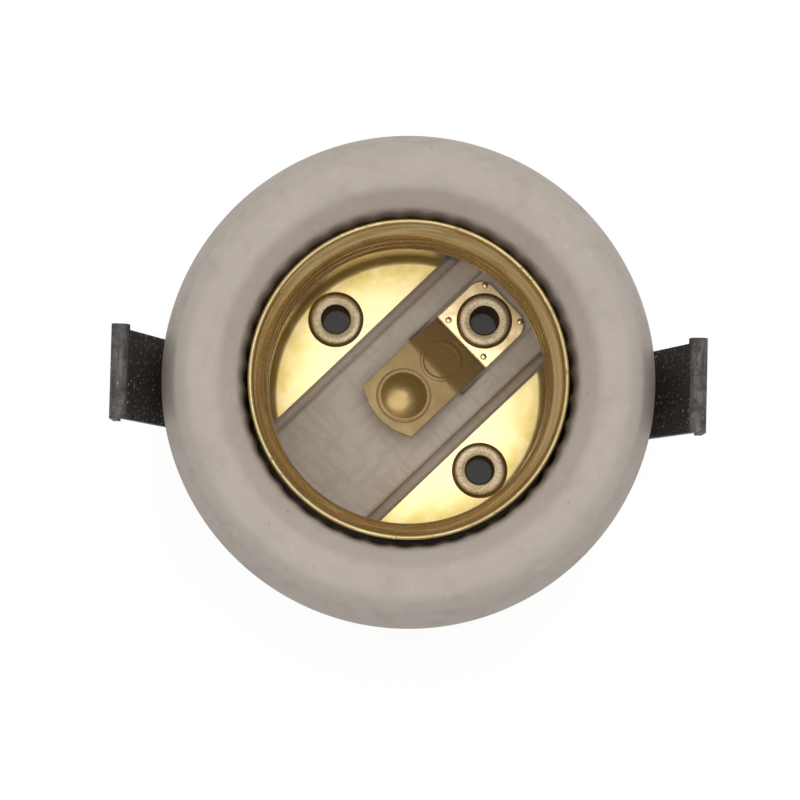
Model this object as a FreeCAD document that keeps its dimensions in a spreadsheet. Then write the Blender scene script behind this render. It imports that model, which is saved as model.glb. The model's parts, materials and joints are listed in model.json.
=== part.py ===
import FreeCAD
import Part
import Sketcher
import math
import os
import re

# Porcelain lamp holder for a large Edison screw lamp, mouth up, with a snap-in steel bracket.
# Millimetres. The axis of the lamp is Z, the bracket lies along X, the back face stands on z = 0.

SIZES = {
    # Porcelain, outside
    "body_top": 40.0,
    "face_inner_radius": 16.4,
    "face_outer_radius": 18.9,
    "brow_radius": 20.1,
    "brow_drop": 1.1,
    "lip_radius": 21.43,
    "lip_drop": 5.4,
    "lip_chamfer": 0.9,
    "neck_radius": 19.7,
    "neck_drop": 7.6,
    "foot_radius": 18.6,
    "foot_chamfer": 0.6,
    # Porcelain, bore
    "throat_radius": 14.8,
    "throat_drop": 1.7,
    "funnel_drop": 6.0,
    "bore_radius": 13.95,
    "flute_reach": 14.35,
    "flute_floor_half_width": 0.5,
    "flute_mouth_reach": 13.0,
    "flute_mouth_half_width": 2.74,
    "flute_count": 40,
    "well_radius": 13.4,
    "well_top": 23.2,
    "seat_level": 14.0,
    "ledge_half_width": 6.5,
    "ledge_rise": 0.4,
    "rib_half_width": 5.6,
    "rib_rise": 2.6,
    "pocket_half_width": 3.525,
    "pocket_depth": 0.8,
    "wall_bite": 1.0,
    # Porcelain, back
    "skirt_inner_radius": 15.5,
    "chamber_level": 9.5,
    "land_level": 6.0,
    "land_half_width": 3.4,
    "strap_slot_play": 0.3,
    "notch_half_width": 3.5,
    "notch_rise": 5.0,
    "notch_corner": 2.4,
    "tip_hole_radius": 2.1,
    "tip_hole_depth": 2.9,
    # Screw shell
    "brass_thick": 0.4,
    "thread_pitch": 3.629,
    "thread_crest_radius": 12.2,
    "thread_root_radius": 13.28,
    "thread_crests": 4,
    "mouth_level": 38.0,
    "flare": 0.12,
    "leg_radius": 12.7,
    "leg_ease": 1.3,
    "foot_bend": 0.8,
    "leg_window_half_width": 6.7,
    "window_top": 23.5,
    "window_corner": 2.0,
    # Centre contact
    "contact_thick": 0.5,
    "plate_half_width": 3.225,
    "plate_end": 12.5,
    "plate_corner": 1.5,
    "slope_start": 6.5,
    "slope_end": 3.25,
    "tongue_rise": 2.6,
    "tongue_tilt": 9.0,
    "tongue_tip": 3.6,
    "tongue_tip_cut": 1.0,
    "bend_radius": 0.8,
    "dome_offset": 0.5,
    "dome_radius": 2.15,
    "dome_height": 0.5,
    # Rivets
    "contact_rivet_place": 9.7,
    "shell_rivet_place": 9.6,
    "rivet_tube_radius": 1.75,
    "rivet_wall": 0.55,
    "rivet_play": 0.05,
    "flange_radius": 2.55,
    "flange_height": 0.55,
    "flange_round": 0.35,
    "bowl_radius": 1.75,
    "bowl_drop": 0.75,
    "rolled_radius": 2.4,
    "rolled_height": 0.6,
    "recess_radius": 2.85,
    "recess_depth": 1.2,
    "rivet_washer_radius": 3.0,
    "rivet_washer_thick": 0.6,
    # Terminals
    "terminal_thick": 0.8,
    "terminal_half_width": 3.0,
    "terminal_corner": 1.5,
    "screw_place": 9.3,
    "screw_radius": 1.75,
    "screw_play": 0.05,
    "screw_engagement": 3.2,
    "screw_tip": 0.4,
    "head_radius": 3.0,
    "head_height": 2.4,
    "head_chamfer": 0.35,
    "slot_half_width": 0.4,
    "slot_depth": 1.1,
    "washer_half_width": 3.0,
    "washer_thick": 0.7,
    "running_gap": 0.02,
    # Mounting bracket
    "strip_thick": 0.62,
    "strip_half_width": 4.05,
    "arm_gap": 0.56,
    "arm_bend": 0.5,
    "knee_level": 20.0,
    "knee_round": 3.0,
    "arm_splay": 12.5,
    "ridge_level": 39.6,
    "hem_width": 1.32,
    "hem_round": 0.55,
    "hem_depth": 5.6,
    "hem_overhang": 0.45,
    "hem_head": 1.1,
    "strap_washer_radius": 3.6,
    "strap_washer_thick": 0.7,
}

doc = FreeCAD.newDocument("lamp_holder")
sheet = doc.addObject("Spreadsheet::Sheet", "Sizes")
for row, (name, size) in enumerate(SIZES.items(), start=1):
    sheet.set(f"A{row}", name)
    sheet.set(f"B{row}", str(size))
    sheet.setAlias(f"B{row}", name)
doc.recompute()

WORD = re.compile(r"\b([a-z][a-z_]*)\b(?!\()")


def formula(text):
    """The expression with each bare word looked up in the sheet."""
    return WORD.sub(r"Sizes.\1", str(text))


def number(text):
    return float(sheet.evalExpression(formula(text)))


def bind(thing, place, text):
    thing.setExpression(place, formula(text))


# Levels and places that several pieces share
NECK_LEVEL = "(body_top - neck_drop)"
NECK_TAPER = f"((neck_radius - foot_radius) / ({NECK_LEVEL} - foot_chamfer))"
FOOT_TOP = "(seat_level + brass_thick)"
RIB_TOP = "(seat_level + rib_rise)"
POCKET_FLOOR = f"({RIB_TOP} - pocket_depth)"
PLATE_TOP = f"({POCKET_FLOOR} + contact_thick)"
TONGUE_LOW = f"({POCKET_FLOOR} + tongue_rise)"
TONGUE_TOP = f"({TONGUE_LOW} + contact_thick)"
TILT = "tan(tongue_tilt)"
RIVET_BORE = "(rivet_tube_radius - rivet_wall)"
RIVET_HOLE = "(rivet_tube_radius + rivet_play)"
SCREW_HOLE = "(screw_radius + screw_play)"
TERMINAL_LOW = "(chamber_level - terminal_thick)"
WASHER_TOP = f"({TERMINAL_LOW} - running_gap)"
WASHER_LOW = f"({WASHER_TOP} - washer_thick)"
HEAD_TOP = f"({WASHER_LOW} - running_gap)"
SCREW_END = f"({HEAD_TOP} + screw_engagement + running_gap + washer_thick)"
STRAP_LOW = "(land_level - strip_thick)"
# Degrees from the bracket's line to the rib
RIB_TURN = 45
# Degrees between a bevel and the faces beside it
BEVEL_TURN = 45
CONTACT_SIDE = f"(contact_rivet_place * cos({RIB_TURN}))"
SHELL_SIDE = f"(shell_rivet_place * cos({RIB_TURN}))"


def body(name):
    made = doc.addObject("PartDesign::Body", name)
    made.Label = name
    return made


def plane(owner, role):
    for feature in owner.Origin.OriginFeatures:
        if feature.Role == role:
            return feature
    raise RuntimeError(f"{owner.Name} has no {role}")


def sketch(owner, name, role="XY_Plane", level=None, turn=0.0):
    """An empty sketch on one of the body's own planes, raised to a level and turned about its normal."""
    made = owner.newObject("Sketcher::SketchObject", name)
    made.AttachmentSupport = (plane(owner, role), [""])
    made.MapMode = "FlatFace"
    if turn:
        made.AttachmentOffset = FreeCAD.Placement(
            FreeCAD.Vector(), FreeCAD.Rotation(FreeCAD.Vector(0, 0, 1), turn)
        )
    if level is not None:
        bind(made, "AttachmentOffset.Base.z", level)
    doc.recompute()
    return made


def free_sketch(name, upright=False):
    """A sketch that stands by itself, flat or upright in the XZ plane."""
    made = doc.addObject("Sketcher::SketchObject", name)
    if upright:
        made.Placement = FreeCAD.Placement(
            FreeCAD.Vector(), FreeCAD.Rotation(FreeCAD.Vector(1, 0, 0), 90)
        )
    return made


def pin(made, geometry, point, across, up):
    """Holds a point at two expressions, measured from the sketch's origin."""
    for kind, axis, text in (("DistanceX", -2, across), ("DistanceY", -1, up)):
        if str(text) == "0":
            made.addConstraint(Sketcher.Constraint("PointOnObject", geometry, point, axis))
        else:
            held = made.addConstraint(
                Sketcher.Constraint(kind, -1, 1, geometry, point, number(text))
            )
            bind(made, f"Constraints[{held}]", text)


def outline(made, corners):
    """A closed line through corners (across, up) or (across, up, rounding)."""
    spots = [FreeCAD.Vector(number(c[0]), number(c[1]), 0) for c in corners]
    count = len(corners)
    ends = []
    for index, corner in enumerate(corners):
        here = spots[index]
        if len(corner) < 3:
            ends.append((here, here, None))
            continue
        rounding = number(corner[2])
        back = (spots[index - 1] - here).normalize()
        ahead = (spots[(index + 1) % count] - here).normalize()
        half = back.getAngle(ahead) / 2
        reach = rounding / math.tan(half)
        middle = (back + ahead).normalize() * (rounding / math.sin(half))
        ends.append((here + back * reach, here + ahead * reach, here + middle))
    lines = []
    for index in range(count):
        start = ends[index][1]
        finish = ends[(index + 1) % count][0]
        lines.append(made.addGeometry(Part.LineSegment(start, finish)))
    for index, corner in enumerate(corners):
        before = lines[index - 1]
        after = lines[index]
        if len(corner) < 3:
            made.addConstraint(Sketcher.Constraint("Coincident", before, 2, after, 1))
            pin(made, after, 1, corner[0], corner[1])
            continue
        first, second, centre = ends[index]
        left = (first - centre).cross(second - centre).z > 0
        start, finish = (first, second) if left else (second, first)
        begin = math.atan2(start.y - centre.y, start.x - centre.x)
        close = math.atan2(finish.y - centre.y, finish.x - centre.x)
        ring = Part.Circle(centre, FreeCAD.Vector(0, 0, 1), (first - centre).Length)
        arc = made.addGeometry(Part.ArcOfCircle(ring, begin, close))
        made.addConstraint(Sketcher.Constraint("Tangent", before, 2, arc, 1 if left else 2))
        made.addConstraint(Sketcher.Constraint("Tangent", after, 1, arc, 2 if left else 1))
        held = made.addConstraint(Sketcher.Constraint("Radius", arc, (first - centre).Length))
        bind(made, f"Constraints[{held}]", corner[2])
        mark = made.addGeometry(Part.Point(spots[index]), True)
        pin(made, mark, 1, corner[0], corner[1])
        made.addConstraint(Sketcher.Constraint("PointOnObject", mark, 1, before))
        made.addConstraint(Sketcher.Constraint("PointOnObject", mark, 1, after))
    doc.recompute()
    return made


def circle(made, across, up, radius):
    centre = FreeCAD.Vector(number(across), number(up), 0)
    ring = made.addGeometry(Part.Circle(centre, FreeCAD.Vector(0, 0, 1), number(radius)))
    held = made.addConstraint(Sketcher.Constraint("Radius", ring, number(radius)))
    bind(made, f"Constraints[{held}]", radius)
    pin(made, ring, 3, across, up)
    return made


def box_outline(made, half_length, half_width):
    return outline(
        made,
        [
            (f"-({half_length})", f"-({half_width})"),
            (half_length, f"-({half_width})"),
            (half_length, half_width),
            (f"-({half_length})", half_width),
        ],
    )


def revolve(owner, name, profile):
    made = owner.newObject("PartDesign::Revolution", name)
    made.Profile = profile
    made.ReferenceAxis = (profile, ["V_Axis"])
    made.Angle = 360
    doc.recompute()
    return made


def pad(owner, name, profile, length, both_ways=False, downward=False):
    made = owner.newObject("PartDesign::Pad", name)
    made.Profile = profile
    made.Midplane = both_ways
    made.Reversed = downward
    bind(made, "Length", length)
    doc.recompute()
    return made


def pocket(owner, name, profile, depth=None, upward=False, both_ways=False):
    """A pocket that has to take something away; with no depth it goes right through."""
    before = owner.Shape.Volume
    made = owner.newObject("PartDesign::Pocket", name)
    made.Profile = profile
    made.Midplane = both_ways
    made.Reversed = upward
    if depth is None:
        made.Type = "ThroughAll"
    else:
        bind(made, "Length", depth)
    doc.recompute()
    if owner.Shape.Volume >= before:
        raise RuntimeError(f"{name} cut nothing")
    return made


def place(thing, across="0", along="0", up="0", turn=0.0):
    thing.Placement = FreeCAD.Placement(
        FreeCAD.Vector(), FreeCAD.Rotation(FreeCAD.Vector(0, 0, 1), turn)
    )
    for axis, text in (("x", across), ("y", along), ("z", up)):
        if str(text) != "0":
            bind(thing, f"Placement.Base.{axis}", text)


def porcelain_body():
    """The insulator: a turned form with a fluted bore, a rib across its floor and a hollow back."""
    made = body("porcelain_body")
    lip_level = "(body_top - lip_drop)"
    turned = outline(
        sketch(made, "turned_profile", "XZ_Plane"),
        [
            ("0", "seat_level"),
            ("well_radius", "seat_level"),
            ("well_radius", "well_top"),
            ("bore_radius", "well_top"),
            ("bore_radius", "body_top - funnel_drop"),
            ("throat_radius", "body_top - throat_drop"),
            ("face_inner_radius", "body_top"),
            ("face_outer_radius", "body_top"),
            ("brow_radius", "body_top - brow_drop"),
            ("lip_radius", lip_level),
            ("lip_radius - lip_chamfer", f"{lip_level} - lip_chamfer"),
            ("neck_radius", NECK_LEVEL),
            ("foot_radius", "foot_chamfer"),
            ("foot_radius - foot_chamfer", "0"),
            ("skirt_inner_radius", "0"),
            ("skirt_inner_radius", "chamber_level"),
            ("0", "chamber_level"),
        ],
    )
    revolve(made, "turned_form", turned)

    land = box_outline(
        sketch(made, "land_plan", level="land_level"),
        "skirt_inner_radius + wall_bite",
        "land_half_width",
    )
    pad(made, "strap_land", land, "chamber_level - land_level")

    ledge = box_outline(
        sketch(made, "ledge_plan", level="seat_level", turn=RIB_TURN),
        "well_radius + wall_bite",
        "ledge_half_width",
    )
    pad(made, "rib_ledge", ledge, "ledge_rise")
    rib = box_outline(
        sketch(made, "rib_plan", level="seat_level", turn=RIB_TURN),
        "well_radius + wall_bite",
        "rib_half_width",
    )
    pad(made, "rib", rib, "rib_rise")
    inset = outline(
        sketch(made, "contact_pocket_plan", level=RIB_TOP, turn=RIB_TURN),
        [
            ("slope_end", "-pocket_half_width"),
            ("well_radius", "-pocket_half_width"),
            ("well_radius", "pocket_half_width"),
            ("slope_end", "pocket_half_width"),
        ],
    )
    pocket(made, "contact_pocket", inset, "pocket_depth")

    flute = outline(
        sketch(made, "flute_plan", level="well_top"),
        [
            ("flute_mouth_reach", "-flute_mouth_half_width"),
            ("flute_reach", "-flute_floor_half_width"),
            ("flute_reach", "flute_floor_half_width"),
            ("flute_mouth_reach", "flute_mouth_half_width"),
        ],
    )
    one_flute = pocket(made, "flute", flute, "body_top - well_top", upward=True)
    flutes = made.newObject("PartDesign::PolarPattern", "flutes")
    flutes.Originals = [one_flute]
    flutes.Axis = (flute, ["N_Axis"])
    flutes.Angle = 360
    bind(flutes, "Occurrences", "flute_count")
    made.Tip = flutes
    doc.recompute()

    holes = sketch(made, "rivet_hole_plan", level="0")
    circle(holes, CONTACT_SIDE, CONTACT_SIDE, RIVET_HOLE)
    circle(holes, f"-{SHELL_SIDE}", SHELL_SIDE, RIVET_HOLE)
    circle(holes, SHELL_SIDE, f"-{SHELL_SIDE}", RIVET_HOLE)
    circle(holes, "0", "0", RIVET_HOLE)
    pocket(made, "rivet_holes", holes, upward=True)
    recess = circle(
        sketch(made, "recess_plan", level=RIB_TOP), "0", "0", "recess_radius"
    )
    pocket(made, "centre_recess", recess, "recess_depth")
    tips = sketch(made, "tip_hole_plan", level="chamber_level")
    circle(tips, "0", "screw_place", "tip_hole_radius")
    circle(tips, "0", "-screw_place", "tip_hole_radius")
    pocket(made, "tip_holes", tips, "tip_hole_depth", upward=True)

    slots = box_outline(
        sketch(made, "strap_slot_plan", level="0"),
        "lip_radius",
        "strip_half_width + strap_slot_play",
    )
    pocket(made, "strap_slots", slots, "land_level", upward=True)
    notch = outline(
        sketch(made, "notch_arch", "XZ_Plane"),
        [
            ("-notch_half_width", "-wall_bite"),
            ("notch_half_width", "-wall_bite"),
            ("notch_half_width", "notch_rise", "notch_corner"),
            ("-notch_half_width", "notch_rise", "notch_corner"),
        ],
    )
    pocket(made, "wire_notches", notch, "lip_radius * 2", both_ways=True)
    place(made)
    return made


def screw_shell():
    """Drawn brass cup with a rolled thread, cut away across the rib so that two legs carry it."""
    made = body("screw_shell")
    half_pitch = "(thread_pitch / 2)"
    outside = [("thread_root_radius + brass_thick + flare", "mouth_level")]
    inside = [("thread_root_radius + flare", "mouth_level")]
    for turn in range(int(number("thread_crests"))):
        root = f"(mouth_level - {turn} * thread_pitch)"
        crest = f"({root} - {half_pitch})"
        if turn:
            outside.append(("thread_root_radius + brass_thick", root))
            inside.append(("thread_root_radius", root))
        outside.append(("thread_crest_radius + brass_thick", crest))
        inside.append(("thread_crest_radius", crest))
    bend = "foot_bend"
    # The inner bend keeps the sheet's thickness across the bevel
    tuck = f"(brass_thick * tan({BEVEL_TURN} / 2))"
    profile = outside + [
        ("leg_radius + brass_thick", f"{crest} - leg_ease"),
        ("leg_radius + brass_thick", f"seat_level + {bend}"),
        (f"leg_radius + brass_thick - {bend}", "seat_level"),
        ("0", "seat_level"),
        ("0", FOOT_TOP),
        (f"leg_radius + brass_thick - {bend} - {tuck}", FOOT_TOP),
        ("leg_radius", f"seat_level + {bend} + {tuck}"),
        ("leg_radius", f"{crest} - leg_ease"),
    ]
    profile += list(reversed(inside))
    revolve(made, "drawn_cup", outline(sketch(made, "cup_profile", "XZ_Plane"), profile))
    window = outline(
        sketch(made, "window_shape", "YZ_Plane"),
        [
            ("-leg_window_half_width", "seat_level - wall_bite"),
            ("leg_window_half_width", "seat_level - wall_bite"),
            ("leg_window_half_width", "window_top", "window_corner"),
            ("-leg_window_half_width", "window_top", "window_corner"),
        ],
    )
    pocket(made, "leg_windows", window, "lip_radius * 2", both_ways=True)
    holes = sketch(made, "foot_hole_plan", level="seat_level")
    circle(holes, "0", "shell_rivet_place", RIVET_HOLE)
    circle(holes, "0", "-shell_rivet_place", RIVET_HOLE)
    pocket(made, "foot_holes", holes, "brass_thick", upward=True)
    place(made, turn=RIB_TURN)
    return made


def centre_contact():
    """Spring strip: a riveted plate, a steep slope and a sprung tongue with a dome."""
    shift = "(contact_thick * tan(atan(tongue_rise / (slope_start - slope_end)) / 2))"
    side = outline(
        free_sketch("contact_side", upright=True),
        [
            ("plate_end", POCKET_FLOOR),
            ("plate_end", PLATE_TOP),
            (f"slope_start + {shift}", PLATE_TOP, "bend_radius"),
            (f"slope_end + {shift}", TONGUE_TOP, "bend_radius + contact_thick"),
            ("-tongue_tip", f"{TONGUE_TOP} + (slope_end + {shift} + tongue_tip) * {TILT}"),
            ("-tongue_tip", f"{TONGUE_LOW} + (slope_end + tongue_tip) * {TILT}"),
            ("slope_end", TONGUE_LOW, "bend_radius"),
            ("slope_start", POCKET_FLOOR, "bend_radius + contact_thick"),
        ],
    )
    bent = doc.addObject("Part::Extrusion", "contact_bent_strip")
    bent.Base = side
    bent.DirMode = "Normal"
    bent.Symmetric = True
    bent.Solid = True
    bind(bent, "LengthFwd", "pocket_half_width * 2")
    plan = outline(
        free_sketch("contact_plan"),
        [
            ("plate_end", "-plate_half_width", "plate_corner"),
            ("plate_end", "plate_half_width", "plate_corner"),
            ("-tongue_tip + tongue_tip_cut", "plate_half_width"),
            ("-tongue_tip + tongue_tip_cut / 4", "plate_half_width / 2"),
            ("-tongue_tip", "0"),
            ("-tongue_tip + tongue_tip_cut / 4", "-plate_half_width / 2"),
            ("-tongue_tip + tongue_tip_cut", "-plate_half_width"),
        ],
    )
    blank = doc.addObject("Part::Extrusion", "contact_blank")
    blank.Base = plan
    blank.DirMode = "Normal"
    blank.Solid = True
    bind(blank, "LengthFwd", "body_top")
    strip = doc.addObject("Part::Common", "contact_strip")
    strip.Base = bent
    strip.Tool = blank

    ball = "((dome_radius^2 + dome_height^2) / (2 * dome_height))"
    dome = doc.addObject("Part::Sphere", "dome")
    dome.Angle2 = 90
    bind(dome, "Radius", ball)
    bind(dome, "Angle1", f"asin(({ball} - dome_height) / {ball})")
    dome.Placement.Rotation = FreeCAD.Rotation(FreeCAD.Vector(0, 1, 0), 1)
    bind(dome, "Placement.Rotation.Angle", "tongue_tilt")
    crown = f"{TONGUE_TOP} + (slope_end + {shift} + dome_offset) * {TILT}"
    bind(dome, "Placement.Base.x", f"-dome_offset - ({ball} - dome_height) * sin(tongue_tilt)")
    bind(dome, "Placement.Base.z", f"{crown} - ({ball} - dome_height) * cos(tongue_tilt)")
    domed = doc.addObject("Part::Fuse", "contact_domed")
    domed.Base = strip
    domed.Tool = dome

    punch = doc.addObject("Part::Cylinder", "contact_rivet_punch")
    bind(punch, "Radius", RIVET_HOLE)
    bind(punch, "Height", "contact_thick + wall_bite * 2")
    bind(punch, "Placement.Base.x", "contact_rivet_place")
    bind(punch, "Placement.Base.z", f"{POCKET_FLOOR} - wall_bite")
    made = doc.addObject("Part::Cut", "centre_contact")
    made.Label = "centre_contact"
    made.Base = domed
    made.Tool = punch
    place(made, turn=RIB_TURN)
    return made


def hollow_rivet(name, across, along, front, back):
    """A tube with a flange turned at the front and an edge rolled over at the back."""
    made = body(name)
    grip = f"({front} - {back})"
    profile = outline(
        sketch(made, f"{name}_profile", "XZ_Plane"),
        [
            (RIVET_BORE, "-rolled_height"),
            ("rivet_tube_radius", "-rolled_height"),
            ("rolled_radius", "0"),
            ("rivet_tube_radius", "0"),
            ("rivet_tube_radius", grip),
            ("flange_radius", grip),
            ("flange_radius - flange_round", f"{grip} + flange_height"),
            ("bowl_radius", f"{grip} + flange_height"),
            (RIVET_BORE, f"{grip} + flange_height - bowl_drop"),
        ],
    )
    revolve(made, f"{name}_tube", profile)
    place(made, across, along, back)
    return made


def washer(name, across, along, low, thick, hole, radius):
    made = body(name)
    ring = sketch(made, f"{name}_plan")
    circle(ring, "0", "0", radius)
    circle(ring, "0", "0", hole)
    pad(made, f"{name}_ring", ring, thick)
    place(made, across, along, low)
    return made


def clamp_plate(name, side):
    """The square plate that a terminal screw presses on the wire."""
    made = body(name)
    plate = box_outline(
        sketch(made, f"{name}_plan"), "washer_half_width", "washer_half_width"
    )
    pad(made, f"{name}_plate", plate, "washer_thick")
    hole = circle(sketch(made, f"{name}_hole_plan"), "0", "0", SCREW_HOLE)
    pocket(made, f"{name}_hole", hole, "washer_thick", upward=True)
    place(made, "0", f"{side} * screw_place", WASHER_LOW)
    return made


def terminal(name, side, rivet_side):
    """A flat brass plate from its rivet to its screw hole, under the chamber's roof."""
    made = body(name)
    reach_x = number(rivet_side)
    reach_y = number("screw_place") - reach_x
    reach = f"sqrt({rivet_side}^2 + (screw_place - {rivet_side})^2)"
    plan = sketch(made, f"{name}_plan")
    cut = "(terminal_half_width - terminal_corner)"
    far = f"({reach} + terminal_half_width)"
    outline(
        plan,
        [
            (f"-{cut}", "-terminal_half_width"),
            (f"{far} - terminal_corner / 2", "-terminal_half_width"),
            (far, "-terminal_half_width + terminal_corner / 2"),
            (far, "terminal_half_width - terminal_corner / 2"),
            (f"{far} - terminal_corner / 2", "terminal_half_width"),
            (f"-{cut}", "terminal_half_width"),
            ("-terminal_half_width", cut),
            ("-terminal_half_width", f"-{cut}"),
        ],
    )
    pad(made, f"{name}_plate", plan, "terminal_thick")
    holes = sketch(made, f"{name}_holes")
    circle(holes, "0", "0", RIVET_HOLE)
    circle(holes, reach, "0", SCREW_HOLE)
    pocket(made, f"{name}_punched", holes, "terminal_thick", upward=True)
    place(made, rivet_side, f"{side} * {rivet_side}", TERMINAL_LOW)
    facing = math.degrees(math.atan2(side * reach_y, -reach_x))
    made.Placement.Rotation = FreeCAD.Rotation(FreeCAD.Vector(0, 0, 1), facing)
    return made


def terminal_screw(name, side):
    """A cheese-head screw that goes in from the back, slotted across its head."""
    made = body(name)
    shank = f"({SCREW_END} - {HEAD_TOP})"
    profile = outline(
        sketch(made, f"{name}_profile", "XZ_Plane"),
        [
            ("0", "-head_height"),
            ("head_radius - head_chamfer", "-head_height"),
            ("head_radius", "-head_height + head_chamfer"),
            ("head_radius", "0"),
            ("screw_radius", "0"),
            ("screw_radius", f"{shank} - screw_tip"),
            ("screw_radius - screw_tip", shank),
            ("0", shank),
        ],
    )
    revolve(made, f"{name}_turned", profile)
    slot = box_outline(
        sketch(made, f"{name}_slot_plan", level="-head_height"),
        "head_radius + screw_tip",
        "slot_half_width",
    )
    pocket(made, f"{name}_slot", slot, "slot_depth", upward=True)
    place(made, "0", f"{side} * screw_place", HEAD_TOP)
    return made


def mounting_bracket():
    """One bent steel strip: a strap across the back and two springy arms with hemmed tips."""
    made = body("mounting_bracket")

    # The arms run beside the tapered neck up to their knees
    foot = f"(foot_radius + (land_level - foot_chamfer) * {NECK_TAPER} + arm_gap)"
    lean = f"atan({NECK_TAPER})"
    knee = f"({foot} + (knee_level - land_level) * {NECK_TAPER})"
    thick = "strip_thick"

    def leg(level, out="0"):
        return f"{foot} + ({level} - land_level) * {NECK_TAPER} + ({out}) / cos({lean})"

    def arm(level, out="0"):
        return f"{knee} + ({level} - knee_level) * tan(arm_splay) + ({out}) / cos(arm_splay)"

    # The outer corner of the knee lies square across the strip from the inner one
    splay = "atan(tan(arm_splay))"
    middle = f"(({lean} + {splay}) / 2)"
    across = f"(strip_thick / cos(({splay} - {lean}) / 2))"
    gap_top = "(ridge_level - strip_thick)"
    tab_low = "(ridge_level - hem_depth)"
    ridge_end = f"({arm('ridge_level')} + hem_width)"
    half = outline(
        sketch(made, "strip_edge", "XZ_Plane"),
        [
            ("0", "land_level"),
            ("0", STRAP_LOW),
            (leg(STRAP_LOW, thick), STRAP_LOW, "arm_bend + strip_thick"),
            (
                f"{knee} + {across} * cos({middle})",
                f"knee_level - {across} * sin({middle})",
                "knee_round",
            ),
            (arm(gap_top, thick), gap_top),
            (f"{ridge_end} - strip_thick", gap_top),
            (f"{ridge_end} - strip_thick", tab_low),
            (ridge_end, tab_low),
            (ridge_end, "ridge_level", "hem_round"),
            (arm("ridge_level"), "ridge_level", "hem_round"),
            (knee, "knee_level", "knee_round + strip_thick"),
            (leg("land_level"), "land_level", "arm_bend"),
        ],
    )
    half_strip = pad(made, "half_strip", half, "strip_half_width * 2", both_ways=True)
    # The folded heads stand proud of one edge of the arms
    arm_edge = "(strip_half_width - hem_overhang)"
    trim = outline(
        sketch(made, "edge_trim", "YZ_Plane"),
        [
            (arm_edge, "-wall_bite"),
            ("strip_half_width + wall_bite", "-wall_bite"),
            ("strip_half_width + wall_bite", "ridge_level - hem_head"),
            (arm_edge, "ridge_level - hem_head"),
        ],
    )
    trimmed = pocket(made, "trimmed_edge", trim, "lip_radius * 4", both_ways=True)
    both = made.newObject("PartDesign::Mirrored", "both_arms")
    both.Originals = [half_strip, trimmed]
    both.MirrorPlane = (plane(made, "YZ_Plane"), [""])
    made.Tip = both
    doc.recompute()
    hole = circle(sketch(made, "strap_hole_plan", level=STRAP_LOW), "0", "0", RIVET_HOLE)
    pocket(made, "strap_hole", hole, "strip_thick", upward=True)
    place(made)
    return made


pieces = [
    porcelain_body(),
    screw_shell(),
    centre_contact(),
    hollow_rivet("contact_rivet", CONTACT_SIDE, CONTACT_SIDE, PLATE_TOP, TERMINAL_LOW),
    hollow_rivet(
        "shell_rivet_left",
        f"-{SHELL_SIDE}",
        SHELL_SIDE,
        FOOT_TOP,
        "(chamber_level - rivet_washer_thick)",
    ),
    hollow_rivet("shell_rivet_right", SHELL_SIDE, f"-{SHELL_SIDE}", FOOT_TOP, TERMINAL_LOW),
    washer(
        "shell_rivet_washer",
        f"-{SHELL_SIDE}",
        SHELL_SIDE,
        "chamber_level - rivet_washer_thick",
        "rivet_washer_thick",
        RIVET_HOLE,
        "rivet_washer_radius",
    ),
    terminal("live_terminal", 1, CONTACT_SIDE),
    terminal("neutral_terminal", -1, SHELL_SIDE),
]
for wire, side in (("live", 1), ("neutral", -1)):
    pieces.append(terminal_screw(f"{wire}_screw", side))
    pieces.append(clamp_plate(f"{wire}_washer", side))
pieces.append(mounting_bracket())
pieces.append(
    hollow_rivet(
        "bracket_rivet",
        "0",
        "0",
        f"({RIB_TOP} - recess_depth)",
        f"({STRAP_LOW} - strap_washer_thick)",
    )
)
pieces.append(
    washer(
        "bracket_washer",
        "0",
        "0",
        f"{STRAP_LOW} - strap_washer_thick",
        "strap_washer_thick",
        RIVET_HOLE,
        "strap_washer_radius",
    )
)
doc.recompute()

for thing in doc.Objects:
    if "Invalid" in thing.State or "Error" in thing.State:
        raise RuntimeError(f"{thing.Name} could not be worked out: {thing.State}")
for piece in pieces:
    if piece.Shape.isNull() or not piece.Shape.isValid():
        raise RuntimeError(f"{piece.Label} has no sound shape")
    if len(piece.Shape.Solids) != 1:
        raise RuntimeError(f"{piece.Label} is {len(piece.Shape.Solids)} solids")

os.makedirs("parts", exist_ok=True)
for piece in pieces:
    piece.Shape.exportStep(f"parts/{piece.Label}.step")
    print(piece.Label, round(piece.Shape.Volume, 2), len(piece.Shape.Faces))
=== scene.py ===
import json
import math

import bmesh
import bpy
from bpy.props import FloatProperty, FloatVectorProperty, IntProperty, PointerProperty
from mathutils import Matrix, Vector


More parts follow.
